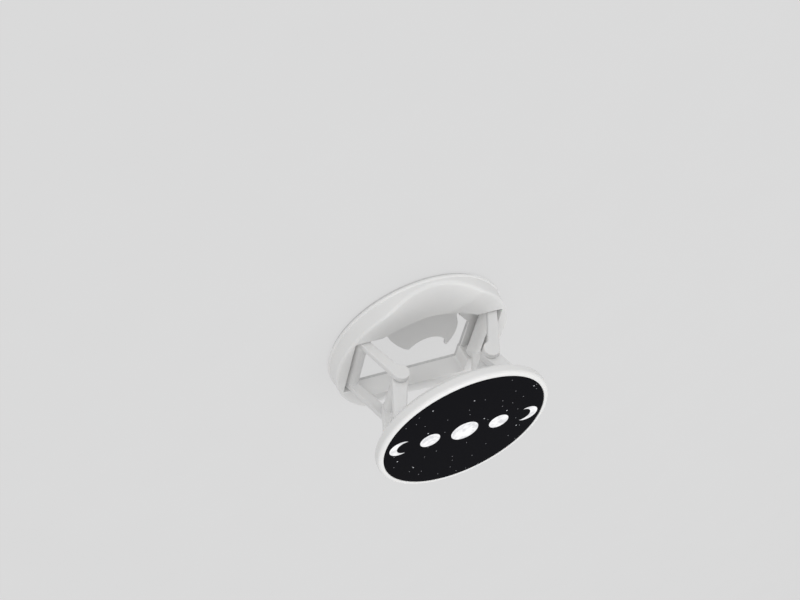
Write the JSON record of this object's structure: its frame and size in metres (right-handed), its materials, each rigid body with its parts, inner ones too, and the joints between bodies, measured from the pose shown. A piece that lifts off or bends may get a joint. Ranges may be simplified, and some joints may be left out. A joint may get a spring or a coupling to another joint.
{
  "type": "phone grip",
  "caption": "Folding phone grip: a round adhesive base, two knee-jointed folding legs and a round plate with a dark face disc printed with a row of moon phases.",
  "frame": {"origin": "centre of the adhesive pad's underside", "axes": "+Z from the base towards the plate, +Y towards the base's notched web, hinge axes along Y, left leg at -X"},
  "size_m": [0.0392, 0.0392, 0.0252],
  "materials": {
    "white_shell": "satin, smooth moulded",
    "white_leg": "satin, smooth moulded",
    "pad": "matte foam tape",
    "steel_pin": "ground",
    "face": "matte print"
  },
  "bodies": {
    "base": {"base": "white_shell", "adhesive_pad": "pad", "base_pin_left": "steel_pin", "base_pin_right": "steel_pin"},
    "lower_leg_left": {"lower_leg_left": "white_leg", "knee_pin_left": "steel_pin"},
    "upper_leg_left": {"upper_leg_left": "white_leg"},
    "lower_leg_right": {"lower_leg_right": "white_leg", "knee_pin_right": "steel_pin"},
    "upper_leg_right": {"upper_leg_right": "white_leg"},
    "plate": {"top_plate": "white_shell", "face_disc": "face", "plate_pin_left": "steel_pin", "plate_pin_right": "steel_pin"}
  },
  "joints": [
    {"name": "base_hinge_left", "type": "hinge", "parent": "base", "child": "lower_leg_left", "pos_m": [-0.0143, 0, 0.00315], "axis": [0, 1, 0], "range_deg": [0, 58.6]},
    {"name": "knee_left", "type": "hinge", "parent": "lower_leg_left", "child": "upper_leg_left", "pos_m": [-0.0101, 0, 0.01295], "axis": [0, 1, 0], "range_deg": [-117.2, 0]},
    {"name": "plate_hinge_left", "type": "hinge", "parent": "upper_leg_left", "child": "plate", "pos_m": [-0.0143, 0, 0.02275], "axis": [0, 1, 0], "range_deg": [0, 58.6]},
    {"name": "base_hinge_right", "type": "hinge", "parent": "base", "child": "lower_leg_right", "pos_m": [0.0143, 0, 0.00315], "axis": [0, 1, 0], "range_deg": [-58.6, 0]},
    {"name": "knee_right", "type": "hinge", "parent": "lower_leg_right", "child": "upper_leg_right", "pos_m": [0.0101, 0, 0.01295], "axis": [0, 1, 0], "range_deg": [0, 117.2]}
  ],
  "couplings": [
    {"joint": "knee_left", "follows": "base_hinge_left", "ratio": -2},
    {"joint": "plate_hinge_left", "follows": "base_hinge_left", "ratio": 1},
    {"joint": "base_hinge_right", "follows": "base_hinge_left", "ratio": -1},
    {"joint": "knee_right", "follows": "base_hinge_left", "ratio": 2}
  ]
}
